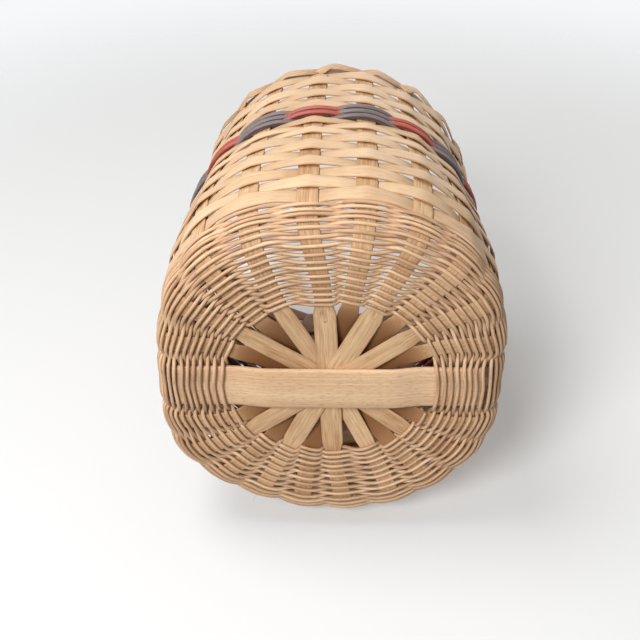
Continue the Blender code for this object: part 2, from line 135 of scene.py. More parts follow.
weave = {
    "margin": 0.03,  # share of the gap between two ribs that a weaver runs on before it bends
    "rest": 0.00005,  # room between weaver and rib
    "groundRest": 0.0002,
    "uneven": (0.7, 1.3),
    "sagMiddle": 0.4,
    "drift": (  # waves round and up the basket, start and size: rows stray up and down together
        (2, 55, 0.7, 0.00042),
        (5, -95, 2.0, 0.00028),
        (9, 160, 0.0, 0.00014),
    ),
    "nearPath": 2e-4,  # steps along and round the basket that give its slope
    "nearAngle": 1e-3,
}
baseLevel = body["level"]
baseRun = body["halfWidth"] - body["cornerRadius"] - body["weaveStart"]
cornerRun = math.pi / 2 * body["cornerRadius"]
wallStart = baseRun + cornerRun
cornerTop = baseLevel + body["cornerRadius"]


def ease(share):
    share = min(max(share, 0.0), 1.0)
    return share * share * (3 - 2 * share)


def between(start, end, share):
    return start + (end - start) * share


def planAt(path):  # half width, height, ratio and squareness at a length along the half section
    foot = body["wallPlan"][0]
    blend = ease(path / wallStart)
    ratio = between(body["middleRatio"], foot[2], blend)
    squareness = between(body["middleSquareness"], foot[3], blend)
    if path <= baseRun:
        return body["weaveStart"] + path, baseLevel, ratio, squareness
    if path <= wallStart:
        turn = (path - baseRun) / body["cornerRadius"]
        halfWidth = body["halfWidth"] - body["cornerRadius"] * (1 - math.sin(turn))
        return halfWidth, baseLevel + body["cornerRadius"] * (1 - math.cos(turn)), ratio, squareness
    height = cornerTop + path - wallStart
    share = min((height - cornerTop) / (body["height"] - cornerTop), 1.0)
    plan = body["wallPlan"]
    low, high = next((a, b) for a, b in zip(plan, plan[1:]) if share <= b[0] + 1e-9)
    part = (share - low[0]) / (high[0] - low[0])
    width, ratio, squareness = (between(a, b, part) for a, b in zip(low[1:], high[1:]))
    return body["halfWidth"] * width, height, ratio, squareness


def pathAt(height):
    return wallStart + height - cornerTop


def skinPoint(angle, path):
    halfWidth, height, ratio, squareness = planAt(path)
    turned, risen = ease(path / wallStart), path - wallStart
    if math.sin(angle) > 0:
        ratio *= between(body["rearShare"], 1.0, turned)
        foot = turned * (1 - ease(risen / body["roundingHeight"]))
        squareness *= 1 - body["rearRounding"] * foot
    across = abs(math.cos(angle)) ** squareness + abs(math.sin(angle) / ratio) ** squareness
    radius = halfWidth * across ** (-1 / squareness)
    dent = turned * (1 - ease(risen / body["dentHeight"]))
    radius -= body["endDent"] * dent * math.exp(-((math.sin(angle) / body["dentReach"]) ** 2))
    swell = turned * (1 - ease(risen / body["swellHeight"]))
    for place, reach, size in body["swells"]:
        radius += size * swell * math.exp(-((math.remainder(angle - place, math.tau) / reach) ** 2))
    return Vector((radius * math.cos(angle), radius * math.sin(angle), height))


def baseAngle(rib):
    half, place = divmod(rib % ribCount, ribCount // 2)
    return math.radians(((0.0,) + body["baseAngles"])[place] + 180 * half)


def ribAngle(rib, path):
    onWall = (rib % ribCount) * body["ribTurn"]
    onWall += body["wallTurn"] * math.sin(onWall) ** 2
    return between(baseAngle(rib), onWall, ease(path / wallStart))


def isHoop(rib):
    return rib % (ribCount // 2) == 0


def ribWidth(rib, path):
    if isHoop(rib):
        return hoop["width"]
    return between(splint["tightWidth"], splint["wallWidth"], ease(path / wallStart))


def skinFrame(angle, path):  # point, side, rise and outward direction
    nearPath, nearAngle = weave["nearPath"], weave["nearAngle"]
    rise = skinPoint(angle, path + nearPath) - skinPoint(angle, path - nearPath)
    if path < baseRun:
        rise = Vector((math.cos(angle), math.sin(angle), 0))
    side = skinPoint(angle + nearAngle, path) - skinPoint(angle - nearAngle, path)
    square = Vector((-math.sin(angle), math.cos(angle), 0))
    side = square.lerp(side.normalized(), ease((path - baseRun) / cornerRun)).normalized()
    rise = (rise - side * rise.dot(side)).normalized()
    return skinPoint(angle, path), side, rise, side.cross(rise)


def drift(angle, path):
    total = 0.0
    for turns, along, start, size in weave["drift"]:
        total += math.sin(turns * angle + along * path + start) * size
    return total


def crossing(rib, path, outside, halfThick, bulge, swell, jitter):
    # where a weaver enters, passes and leaves a rib: place, rise, outward, width share, over or under
    angle = ribAngle(rib, path)
    path += drift(angle, path) + random.uniform(-jitter, jitter)
    point, side, rise, outward = skinFrame(angle, path)
    reach = ribWidth(rib, path) / 2
    following = skinPoint(ribAngle(rib + 1, path), path)
    gap = (following - point).length - reach - ribWidth(rib + 1, path) / 2
    margin = weave["margin"] * max(gap, 0.0)
    face = (hoop["proud"] if isHoop(rib) else splint["thick"] / 2) if outside else -splint["thick"] / 2
    way = 1 if outside else -1
    bulge *= random.uniform(*weave["uneven"])
    swell *= random.uniform(*weave["uneven"])
    # on the base a turn bends round the middle while it passes the rib
    sag = reach**2 / (2 * point.length) * (1 - ease((path - baseRun) / cornerRun))
    places = []
    for share, extra, wider in ((-1, 0.0, 0.0), (0, bulge, swell), (1, 0.0, 0.0)):
        offset = face + way * (halfThick + weave["rest"] + extra)
        place = point + side * share * (reach + margin) + outward * offset
        place += rise * sag * (weave["sagMiddle"] - abs(share))
        place.z = max(place.z, halfThick + weave["groundRest"])
        places.append((*place, *rise, *outward, 1 + wider, way))
    return places


def throughPoints(points, steps, closed):  # a smooth line through points, with their other values
    points = np.array(points)
    count = len(points)
    ahead = np.roll(points, -1, 0)
    behind = np.roll(points, 1, 0)
    if not closed:
        ahead[-1], behind[0] = points[-1] * 2 - points[-2], points[0] * 2 - points[1]
    longAhead = np.linalg.norm((ahead - points)[:, :3], axis=1)[:, None] + 1e-9
    longBehind = np.linalg.norm((points - behind)[:, :3], axis=1)[:, None] + 1e-9
    slope = (points - behind) / longBehind * longAhead + (ahead - points) / longAhead * longBehind
    slope /= longAhead + longBehind
    rows = []
    for index in range(count if closed else count - 1):
        following = (index + 1) % count
        size = longAhead[index]
        parts = steps[index % len(steps)]
        for step in range(parts):
            t = step / parts
            rows.append(
                points[index] * (2 * t**3 - 3 * t**2 + 1)
                + slope[index] * size * (t**3 - 2 * t**2 + t)
                + points[following] * (3 * t**2 - 2 * t**3)
                + slope[following] * size * (t**3 - t**2)
            )
    if not closed:
        rows.append(points[-1])
    return np.array(rows)


def squared(line, closed):  # centre, rise and outward of a line, at right angles to its run
    centre, rise = line[:, :3], line[:, 3:6]
    along = np.roll(centre, -1, 0) - np.roll(centre, 1, 0) if closed else np.gradient(centre, axis=0)
    along /= np.linalg.norm(along, axis=1)[:, None]
    rise = rise - along * np.sum(rise * along, 1)[:, None]
    rise /= np.linalg.norm(rise, axis=1)[:, None]
    return centre, rise, np.cross(along, rise)


# sections of a strip, from edge to edge over its outer face and back under it
flatSection = [(-1, 0), (-0.97, 0.55), (-0.86, 0.88), (-0.45, 1.0), (0, 1.03)]
flatSection += [(0.45, 1.0), (0.86, 0.88), (0.97, 0.55), (1, 0), (0.97, -0.55)]
flatSection += [(0.86, -0.88), (0.45, -0.95), (-0.45, -0.95), (-0.86, -0.88), (-0.97, -0.55)]
roundSection = [(-math.cos(math.tau * k / 12), math.sin(math.tau * k / 12)) for k in range(12)]
hairSection = [(-1, 0), (0.5, 0.87), (0.5, -0.87)]


def bentStrip(name, centre, across, outward, thick, section, closed, tones):
    # a grid rolled round a section and bent along a line; across reaches to the strip's edge
    count, around = len(centre), len(section)
    cuts = count if closed else count - 1
    mesh = bmesh.new()
    uvLayer = mesh.loops.layers.uv.new("UVMap")
    bmesh.ops.create_grid(mesh, x_segments=cuts, y_segments=around, size=1)
    toneLayer = mesh.verts.layers.float.new("tone")
    edgeLayer = mesh.verts.layers.float.new("edge")
    step = np.linalg.norm(np.roll(centre, -1, 0) - centre, axis=1)
    along = np.concatenate(([0.0], np.cumsum(step)))
    widest = np.linalg.norm(across, axis=1).max()
    ring = [np.array(place) * np.array((widest, thick / 2)) for place in section]
    ringStep = [np.linalg.norm(ring[(k + 1) % around] - ring[k]) for k in range(around)]
    aroundLength = np.concatenate(([0.0], np.cumsum(ringStep)))
    grid = {}
    for vert in mesh.verts:
        grid[vert] = (round((vert.co.x + 1) / 2 * cuts), round((vert.co.y + 1) / 2 * around))
    for face in mesh.faces:
        face.smooth = True
        for loop in face.loops:
            place = grid[loop.vert]
            loop[uvLayer].uv = (along[place[0]], aroundLength[place[1]])
    for vert, (i, j) in grid.items():
        a, t = section[j % around]
        row = i % count
        vert.co = Vector(centre[row] + across[row] * a + outward[row] * t * thick / 2)
        vert[toneLayer] = tones[row]
        vert[edgeLayer] = abs(a)
    bmesh.ops.remove_doubles(mesh, verts=mesh.verts[:], dist=2e-6)  # closes the seam
    if not closed:
        bmesh.ops.holes_fill(mesh, edges=[edge for edge in mesh.edges if edge.is_boundary])
    bmesh.ops.recalc_face_normals(mesh, faces=mesh.faces[:])
    return added(name, mesh)


def added(name, mesh):
    data = bpy.data.meshes.new(name)
    mesh.to_mesh(data)
    mesh.free()
    item = bpy.data.objects.new(name, data)
    bpy.context.scene.collection.objects.link(item)
    return item


def wander(count, size, waves):  # a slow random drift that meets itself
    total = np.zeros(count)
    turn = np.arange(count) / count * math.tau
    for wave in waves:
        total += np.sin(turn * wave + random.uniform(0, math.tau)) * random.uniform(0.4, 1.0)
    return total * size / len(waves)


def dress(item, material, slot, *nodes, rider="basket"):
    item.data.materials.append(material)
    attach(item, rider)
    if nodes:
        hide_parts(*nodes)


class Wire:  # a socket of a material that can be used in sums
    def __init__(self, tree, socket):
        self.tree, self.socket = tree, socket

    def node(self, kind, settings=None, inputs=None, out=0):
        made = self.tree.nodes.new(kind)
        for key, value in (settings or {}).items():
            setattr(made, key, value)
        for key, value in (inputs or {}).items():
            if isinstance(value, Wire):
                self.tree.links.new(value.socket, made.inputs[key])
            else:
                made.inputs[key].default_value = value
        return Wire(self.tree, made.outputs[out])

    def sum(self, operation, first, second=0.0):
        return self.node("ShaderNodeMath", {"operation": operation}, {0: first, 1: second})

    def __add__(self, other): return self.sum("ADD", self, other)
    def __radd__(self, other): return self.sum("ADD", other, self)
    def __sub__(self, other): return self.sum("SUBTRACT", self, other)
    def __rsub__(self, other): return self.sum("SUBTRACT", other, self)
    def __mul__(self, other): return self.sum("MULTIPLY", self, other)
    def __rmul__(self, other): return self.sum("MULTIPLY", other, self)
    def __abs__(self): return self.sum("ABSOLUTE", self)

    def held(self):
        return self.node("ShaderNodeClamp", None, {0: self})

    def span(self, low, high):  # 0 at low, 1 at high
        settings = {"interpolation_type": "SMOOTHSTEP"}
        return self.node("ShaderNodeMapRange", settings, {0: self, 1: low, 2: high})

    def stretched(self, x, y, z=1.0):
        return self.node("ShaderNodeVectorMath", {"operation": "MULTIPLY"}, {0: self, 1: (x, y, z)})

    def grain(self, detail=2.0, rough=0.5, warp=0.0, w=None):
        settings = {"noise_dimensions": "4D"} if w is not None else {}
        inputs = {"Vector": self, "Scale": 1.0, "Detail": detail, "Roughness": rough, "Distortion": warp}
        if w is not None:
            inputs["W"] = w
        return self.node("ShaderNodeTexNoise", settings, inputs)

    def blend(self, first, second):  # self is the share of the second colour
        return self.node("ShaderNodeMix", {"data_type": "RGBA"}, {0: self, 6: first, 7: second}, 2)

    def away(self, spot):
        return self.node("ShaderNodeVectorMath", {"operation": "DISTANCE"}, {0: self, 1: spot}, 1)


def newMaterial(name):
    material = bpy.data.materials.new(name)
    material.use_nodes = True
    tree = material.node_tree
    place = Wire(tree, tree.nodes.new("ShaderNodeTexCoord").outputs["Object"])
    return material, tree.nodes["Principled BSDF"], place


def stripValues(place):  # what bentStrip gives a strip: its UV map, its tone and how near its edge is
    uv = Wire(place.tree, place.socket.node.outputs["UV"])
    tone = uv.node("ShaderNodeAttribute", {"attribute_name": "tone"}, None, "Fac")
    edge = uv.node("ShaderNodeAttribute", {"attribute_name": "edge"}, None, "Fac")
    return uv, tone, edge


def finishShader(shader, colour, roughness, height, look):
    links = colour.tree.links
    links.new(colour.socket, shader.inputs["Base Color"])
    links.new(roughness.socket, shader.inputs["Roughness"])
    inputs = {"Strength": look["bump"], "Distance": look["bumpDepth"], "Height": height}
    links.new(height.node("ShaderNodeBump", None, inputs).socket, shader.inputs["Normal"])
    shader.inputs["Specular IOR Level"].default_value = look["specular"]


def reedMaterial(name, look):  # long fibres, slow blotches, a tone for each strand, and painted shade darkening the edges
    material, shader, place = newMaterial(name)
    uv, tone, edge = stripValues(place)
    shift = tone * look["shift"]
    fine = uv.stretched(look["alongFine"], look["acrossFine"]).grain(3.0, 0.62, w=shift)
    wide = uv.stretched(look["alongWide"], look["acrossWide"]).grain(2.0, 0.5, w=shift)
    blotch = place.stretched(*[look["blotch"]] * 3).grain(2.0, 0.5)
    fleck = uv.stretched(look["alongFine"] * 2.2, look["acrossFine"] * 0.5).grain(1.0, 0.5, w=shift)
    fleck = fleck.span(*look["fleckSpan"])
    share = tone + (fine - 0.5) * look["fineShare"] + (wide - 0.5) * look["wideShare"]
    share = share + (blotch - 0.5) * look["blotchShare"]
    colour = share.held().blend(look["dark"], look["light"])
    colour = (0 - tone).held().blend(colour, look["paintedShade"])  # painted shade colour, only where the tone is below 0
    colour = (fleck * look["fleckShare"]).held().blend(colour, look["fleck"])
    # painted shade: each strip's edges darken towards the edge tint, for the shade in the crevices between
    # strands
    colour = (edge.span(look["edgeStart"], 1.0) * look["edgeShadeShare"]).held().blend(colour, look["edgeShadeTint"])
    if "knot" in look:
        knot = 1 - place.away(look["knot"]).span(*look["knotReach"])
        colour = (knot * look["knotShare"]).held().blend(colour, look["knotTint"])
    finishShader(shader, colour, fine * 0.16 + look["rough"], fine * 0.6 + wide * 0.4, look)
    return material


flatLook = {
    "light": tint(224, 195, 160),
    "dark": tint(184, 145, 106),
    "fleck": tint(160, 114, 74),
    # the edge tint and share below paint shade into the crevices along each strip's edges
    "edgeShadeTint": tint(168, 122, 80),
    # painted shade colour for tones below 0: the back splints of the star and the tucked ends
    "paintedShade": tint(120, 78, 42),
    "alongFine": 55,
    "acrossFine": 2300,
    "alongWide": 12,
    "acrossWide": 430,
    "blotch": 34,
    "shift": 9.0,  # gives strands of different tone a different grain
    "fineShare": 0.9,
    "wideShare": 1.1,
    "blotchShare": 0.7,
    "fleckShare": 0.35,
    "fleckSpan": (0.62, 0.72),
    "edgeStart": 0.80,
    "edgeShadeShare": 0.8,
    "rough": 0.46,
    "specular": 0.35,
    "bump": 0.5,
    "bumpDepth": 0.00025,
}
splintLook = dict(
    flatLook,
    light=tint(234, 202, 162),
    dark=tint(170, 128, 88),
    fleck=tint(140, 98, 64),
    acrossFine=1700,
    acrossWide=520,
    edgeShadeShare=0.5,
    fineShare=1.5,
    wideShare=1.2,
    bump=0.7,
    knot=(-0.0018, -0.0529, 0.0057),  # a small dark knot on one splint of the star
    knotReach=(0.0004, 0.0013),
    knotShare=0.75,
    knotTint=tint(92, 60, 38),
)
roundLook = dict(
    flatLook,
    light=tint(226, 192, 156),
    dark=tint(164, 124, 92),
    fleck=tint(124, 84, 60),
    edgeShadeTint=tint(118, 78, 48),
    alongFine=90,
    acrossFine=2600,
    alongWide=30,
    acrossWide=500,
    edgeShadeShare=0.35,
    rough=0.42,
    fleckShare=0.5,
)
redLook = dict(
    roundLook,
    light=tint(182, 92, 74),
    dark=tint(136, 58, 44),
    fleck=tint(104, 42, 38),
    edgeShadeTint=tint(84, 30, 26),
    edgeShadeShare=0.8,
    rough=0.38,
    specular=0.45,
)
greyLook = dict(
    redLook,
    light=tint(130, 117, 115),
    dark=tint(82, 71, 73),
    fleck=tint(58, 48, 54),
    edgeShadeTint=tint(48, 38, 40),
)
print("stage: materials")
flatReed = reedMaterial("flatReed", flatLook)
splintReed = reedMaterial("splintReed", splintLook)
roundReed = reedMaterial("roundReed", roundLook)
redReed = reedMaterial("redReed", redLook)
greyReed = reedMaterial("greyReed", greyLook)

rows = {
    "thick": 0.0014,
    "space": 0.0006,
    "wide": 0.0123,
    "narrow": 0.0079,
    "upper": 0.0126,
    "wideRows": 7,
    "narrowRows": 3,
    "upperRows": 6,
    "lift": 0.0045,  # how far the round reed pushes the first rows up
    "lifted": 4,
    "lowered": 0.0016,  # the first row comes down onto the round reed
    "bulge": 0.0011,
    "swell": 0.12,
    "jitter": 0.00030,
    "steps": (4, 4, 8),
    "fill": 1.10,  # width share between the ribs
    "besideRib": 0.05,
    "uneven": 0.02,
    "tone": 0.60,
    "toneSpread": 0.16,
    "overUnderShade": 0.10,  # painted light and shade: lighter where it passes over a rib, darker where it passes under
    "endLong": 14,
    "endRise": 8,
    "endLift": 0.7,
    "endWidth": 0.97,
    "endThick": 0.75,
    "endTone": 0.12,
}


def flatRow(name, node, height, strip, parity):
    path = pathAt(height + (rows["space"] + strip) / 2)
    halfThick = rows["thick"] / 2
    points = []
    for rib in range(ribCount):
        outside = rib % 2 == parity
        points += crossing(rib, path, outside, halfThick, rows["bulge"], rows["swell"], rows["jitter"])
    line = throughPoints(points, rows["steps"], True)
    count = len(line)
    centre, rise, outward = squared(line, True)
    widths = strip / 2 * (rows["fill"] * line[:, 9] + rows["besideRib"] * np.abs(line[:, 10]))
    widths *= 1 + wander(count, rows["uneven"], (3, 4, 9))
    across = rise * widths[:, None]
    tones = rows["tone"] + random.uniform(-rows["toneSpread"], rows["toneSpread"])
    # lighter over the ribs and darker under them, as painted light and shade
    tones = tones + wander(count, rows["toneSpread"], (1, 2, 5, 9)) + line[:, 10] * rows["overUnderShade"]
    item = bentStrip(name, centre, across, outward, rows["thick"], flatSection, True, tones)
    dress(item, flatReed, "flat_reed", node)
    # the cut end of the row, which lies on its beginning over one rib of the far side
    rib = random.randrange(1, 6) * 2 - parity
    first = (rib * sum(rows["steps"]) - rows["steps"][2]) % count
    picks = [(first + step) % count for step in range(rows["endLong"])]
    lift = np.array([ease(step / rows["endRise"]) for step in range(rows["endLong"])])[:, None]
    centre = centre[picks] + outward[picks] * lift * rows["thick"] * rows["endLift"]
    across, outward = across[picks] * rows["endWidth"], outward[picks]
    tones = tones[picks] + rows["endTone"]
    thick = rows["thick"] * rows["endThick"]
    end = bentStrip(name + "End", centre, across, outward, thick, flatSection, False, tones)
    dress(end, flatReed, "flat_reed")


print("stage: rows of flat reed")
height = body["firstRow"]
for number in range(rows["wideRows"] + rows["narrowRows"]):
    strip = rows["wide"] if number < rows["wideRows"] else rows["narrow"]
    low = rows["lowered"] if number == 0 else 0.0
    squeeze = rows["lift"] / rows["lifted"] if number < rows["lifted"] else 0.0
    start = height + squeeze * (rows["lifted"] - number) - low
    row = f"{number + 1:02d}"
    flatRow("wallStrip" + row, "wall_row_" + row, start, strip - squeeze + low, (number + 1) % 2)
    height += strip + rows["space"]
for number in range(rows["upperRows"]):
    height = body["upperStart"] + number * (rows["upper"] + rows["space"])
    row = f"{number + 1:02d}"
    flatRow("upperStrip" + row, "upper_row_" + row, height, rows["upper"], number % 2)

reeds = {
    "base": 0.00255,
    "baseRest": 0.00114,
    "baseSteps": (4, 4, 5),
    "dyed": 0.0043,
    "dyedRest": 0.0018,
    "dyedSteps": (4, 4, 6),
    "dyes": ("grey", "red", "grey", "red", "grey"),
    "turns": 16.5,
    "firstRib": 1,
    "innermost": 0.00155,  # where the first turn starts, from the open middle outwards
    "lastRest": 0.0003,
    "hoopSpread": 0.09,  # over the hoop the turns spread out first and close up on the wall
    "bulge": 0.0006,
    "jitter": 0.00036,
    "uneven": 0.07,
    "tone": 0.52,
    "toneSpread": 0.5,
    # painted light and shade: lighter over a rib, darker under it
    "overUnderShade": 0.10,
    "shortWaves": (3, 5, 8, 13),
    "longWaves": (23, 37, 61, 97),  # for lines of longCount points or more
    "longCount": 500,
}


def strand(name, points, steps, diameter, closed, material, slot, node):
    line = throughPoints(points, steps, closed)
    count = len(line)
    centre, rise, outward = squared(line, closed)
    waves = reeds["shortWaves"] if count < reeds["longCount"] else reeds["longWaves"]
    radius = diameter / 2 * (1 + wander(count, reeds["uneven"], waves))
    # lighter over the ribs and darker under them, as painted light and shade
    tones = reeds["tone"] + wander(count, reeds["toneSpread"], waves) + line[:, 10] * reeds["overUnderShade"]
    item = bentStrip(name, centre, rise * radius[:, None], outward, diameter, roundSection, closed, tones)
    dress(item, material, slot, node)


print("stage: round reed")
highest = pathAt(body["firstRow"] + rows["lift"]) - reeds["lastRest"]
for parity, letter in enumerate("ab"):
    points = []
    for step in range(int(reeds["turns"] * ribCount)):
        rib = (reeds["firstRib"] + step) % ribCount
        share = (parity + 2 * step / ribCount) / (2 * reeds["turns"] + 1)
        share += reeds["hoopSpread"] * math.sin(math.pi * share) * math.cos(ribAngle(rib, 0.0)) ** 2
        path = between(reeds["innermost"], highest, share)
        bulge = 0.0 if isHoop(rib) else reeds["bulge"]
        points += crossing(rib, path, rib % 2 == parity, reeds["baseRest"], bulge, 0.0, reeds["jitter"])
    name, node = "baseStrand" + letter.upper(), "base_weaver_" + letter
    strand(name, points, reeds["baseSteps"], reeds["base"], False, roundReed, "round_reed", node)
bandMiddle = pathAt((body["bandStart"] + body["upperStart"]) / 2)
bandPitch = (body["upperStart"] - body["bandStart"]) / len(reeds["dyes"])
for index, dye in enumerate(reeds["dyes"]):
    path = bandMiddle + (index - len(reeds["dyes"]) // 2) * bandPitch
    points = []
    for rib in range(ribCount):
        outside = rib % 2 == (index + 1) % 2
        points += crossing(rib, path, outside, reeds["dyedRest"], reeds["bulge"], 0.0, reeds["jitter"])
    name, node = f"bandStrand{index + 1}", f"band_row_{index + 1}_{dye}"
    material = redReed if dye == "red" else greyReed
    strand(name, points, reeds["dyedSteps"], reeds["dyed"], True, material, dye + "_reed", node)

# each splint's end rises, folds over, runs along the rim past the next two and is tucked down inside
border = {
    "legWidth": (0.0104, 0.0116),  # of every other splint
    "peak": (0.0030, 0.0004),
    "peakSpread": (-0.0010, 0.0018),
    "widthSpread": (0.92, 1.08),
    "slip": 0.05,
    "jitter": 0.0005,
    "mitreLimit": 0.7,
    "legSteps": 4,
    "furthest": (0.34, 1.34),  # lean share where a fold ends before the hoop, one and two ribs ahead
    "underHandle": 0.25,  # share of the outward reach beside the hoop, where the handle passes
    "stops": (  # lean share, rise above the weave, share of the peak, outward, width share
        (0.00, 0.0022, 0.0, 0.0008, 1.05),
        (0.14, 0.0060, 0.4, 0.0020, 0.90),
        (0.31, 0.0084, 1.0, 0.0027, 0.95),
        (0.46, 0.0068, 0.5, 0.0024, 1.05),
        (0.78, 0.0058, 0.1, 0.0012, 1.05),
        (1.04, 0.0066, 0.0, -0.0004, 1.10),
        (1.50, 0.0072, 0.0, -0.0012, 1.20),
        (2.00, 0.0056, 0.0, -0.0020, 1.20),
        (2.14, -0.0060, 0.0, -0.0034, 1.00),
        (2.16, -0.0180, 0.0, -0.0034, 0.90),
    ),
}


def splintRun(rib, number):  # middle, half width and outward, from the star's centre up to the rim
    angle = baseAngle(rib)
    run = Vector((math.cos(angle), math.sin(angle), 0))
    side = Vector((-math.sin(angle), math.cos(angle), 0))
    edgeRadius = skinPoint(angle, 0.0).length
    starWidth = splint["starWidths"][number]
    edges = []
    for step in range(splint["starSteps"]):
        radius = edgeRadius * step / splint["starSteps"]
        share = min(max((radius - splint["stackFlat"]) / (edgeRadius - splint["stackFlat"]), 0), 1)
        rise = splint["layers"][number] * splint["layerRise"] * (1 - share)
        taper = ease((radius - edgeRadius + splint["taperStart"]) / splint["taper"])
        width = between(starWidth, splint["tightWidth"], taper)
        middle = run * radius + Vector((0, 0, baseLevel + rise))
        edges.append((middle, side * width / 2, Vector((0, 0, -1))))
    path = 0.0
    while path < pathAt(body["weaveTop"]):
        point, side, rise, outward = skinFrame(ribAngle(rib, path), path)
        taper = ease((path + splint["taperStart"]) / splint["taper"])
        width = between(starWidth, ribWidth(rib, path), taper)
        edges.append((point, side * width / 2, outward))
        path += splint["baseStep"] if path < wallStart else splint["wallStep"]
    return edges


def foldedEnd(rib, last):  # the same for the rest of the splint, which starts at its last place on the wall
    furthest = border["stops"][-1][0]
    for steps, share in enumerate(border["furthest"], 1):
        if isHoop(rib + steps):
            furthest = share
    kind = rib % 2
    peak = border["peak"][kind] + random.uniform(*border["peakSpread"])
    legWidth = border["legWidth"][kind] * random.uniform(*border["widthSpread"])
    slip = random.uniform(-border["slip"], border["slip"])
    centres = []
    for share, height, peakShare, outwards, wide in border["stops"]:
        jitter = random.uniform(-border["jitter"], border["jitter"])
        level = body["weaveTop"] + height + peak * peakShare + jitter
        lean = min(share + slip * min(share * 3, 1), furthest)
        leaned = ribAngle(rib, wallStart) + body["ribTurn"] * lean
        point, side, rise, outward = skinFrame(leaned, pathAt(level))
        if isHoop(rib - 1) and outwards > 0:
            outwards *= border["underHandle"]
        centres.append((point + outward * outwards, rise, outward, wide))
    corners = [last]
    for index, (middle, rise, outward, wide) in enumerate(centres):
        before = (middle - centres[index - 1][0]).normalized() if index else rise
        after = (centres[index + 1][0] - middle).normalized() if index + 1 < len(centres) else before
        across = (before + after).normalized().cross(outward).normalized()
        mitre = 1 / max(across.cross(after).length, border["mitreLimit"])
        corners.append((middle, -across * legWidth * wide / 2 * mitre, outward))
    edges = []
    for first, second in zip(corners, corners[1:]):
        for step in range(1, border["legSteps"] + 1):
            edges.append(tuple(a.lerp(b, step / border["legSteps"]) for a, b in zip(first, second)))
    return edges


def halfSplint(rib, number):
    edges = splintRun(rib, number)
    return edges + foldedEnd(rib, edges[-1])


print("stage: splints")
for number, layer in enumerate(splint["layers"]):
    near = halfSplint(number + 1, number)
    far = halfSplint(number + 1 + ribCount // 2, number)
    line = [(middle, -half, outward) for middle, half, outward in far[:0:-1]] + near
    centre = np.array([tuple(row[0]) for row in line])
    for smoothing in range(2):
        centre[1:-1] = (centre[:-2] + centre[2:] + centre[1:-1] * 2) / 4
    across = -np.array([tuple(row[1]) for row in line])
    outward = np.array([tuple(row[2]) for row in line])
    count = len(line)
    nearStar = np.exp(-((np.linalg.norm(centre, axis=1) / splint["starReach"]) ** splint["starEdge"]))
    away = np.arange(count) / (count - 1)
    tucked = np.exp(-((np.minimum(away, 1 - away) * count / splint["tuckedSteps"]) ** splint["tuckedEdge"]))
    tones = splint["tone"] + random.uniform(-splint["toneSpread"], splint["toneSpread"])
    # the tucked ends get painted shade
    tones = tones + wander(count, splint["toneWander"], (3, 5, 9)) + tucked * splint["tuckedShadeTone"]
    # painted light on the front splints of the star and painted shade on those behind
    tones += nearStar * (splint["backShadeTone"] if layer > splint["topLayer"] else splint["litFrontTone"])
    name, node = f"splint{number + 1:02d}", f"base_splint_{number + 1:02d}"
    item = bentStrip(name, centre, across, outward, splint["thick"], flatSection, False, tones)
    dress(item, splintReed, "splint_reed", node)


def woodMaterial(name, look):  # lines and pores along the strip, painted shade along its side edges, and dark patches near the ends where the look sets them
    material, shader, place = newMaterial(name)
    uv, tone, edge = stripValues(place)
    line = uv.stretched(*look["line"]).grain(3.0, 0.65, 0.3)
    pore = uv.stretched(*look["pores"]).grain(2.0, 0.6)
    wave = uv.stretched(*look["wave"]).grain(2.0, 0.5, 0.8)
    share = tone + (line - 0.5) * look["lineShare"] + (wave - 0.5) + (pore - 0.5) * look["poreShare"]
    colour = share.held().blend(look["dark"], look["light"])
    colour = (pore.span(*look["poreSpan"]) * look["poreDepth"]).held().blend(colour, look["pore"])
    # painted shade: the side edges of the wood are darkened towards its dark colour
    colour = (edge.span(look["edgeStart"], 1.0) * look["edgeShadeShare"]).held().blend(colour, look["dark"])
    if "endDark" in look:
        reach = place.node("ShaderNodeSeparateXYZ", None, {0: place})
        height = place.node("ShaderNodeSeparateXYZ", None, {0: place}, 2)
        patch = place.stretched(*look["endDarkPatch"]).grain(3.0, 0.6, 0.6).span(*look["endDarkGaps"])
        endDark = abs(reach).span(*look["endDarkReach"]) * (1 - height.span(*look["endDarkTop"])) * patch
        colour = (endDark * look["endDarkShare"]).held().blend(colour, look["endDark"])
    finishShader(shader, colour, line * 0.18 + look["rough"], line * 0.6 + pore * 0.4, look)
    return material


handleLook = {
    "light": tint(216, 176, 126),
    "dark": tint(164, 118, 76),
    "pore": tint(160, 116, 80),
    "line": (8, 560),
    "pores": (150, 1900),
    "wave": (5, 95),
    "lineShare": 1.5,
    "poreShare": 0.5,
    "poreSpan": (0.53, 0.66),
    "poreDepth": 0.6,
    "edgeStart": 0.9,
    "edgeShadeShare": 0.35,
    "rough": 0.36,
    "specular": 0.4,
    "bump": 0.4,
    "bumpDepth": 0.0003,
}
hoopLook = dict(
    handleLook,
    light=tint(244, 212, 176),
    dark=tint(202, 162, 122),
    rough=0.42,
    # darker patches on the hoop near the two ends of the base
    endDark=tint(82, 62, 54),
    endDarkReach=(0.1000, 0.1065),  # from there outwards, at the two ends of the base
    endDarkTop=(0.034, 0.056),
    endDarkPatch=(70, 45, 60),
    endDarkGaps=(0.17, 0.47),
    endDarkShare=0.92,
)
hoopWood = woodMaterial("hoopWood", hoopLook)
handleWood = woodMaterial("handleWood", handleLook)
woodSection = [(-1, 0), (-0.985, 0.45), (-0.95, 0.82), (-0.88, 1), (-0.4, 1)]
woodSection += [(0.4, 1), (0.88, 1), (0.95, 0.82), (0.985, 0.45)]
woodSection += [(-a, -t) for a, t in woodSection]  # the under side


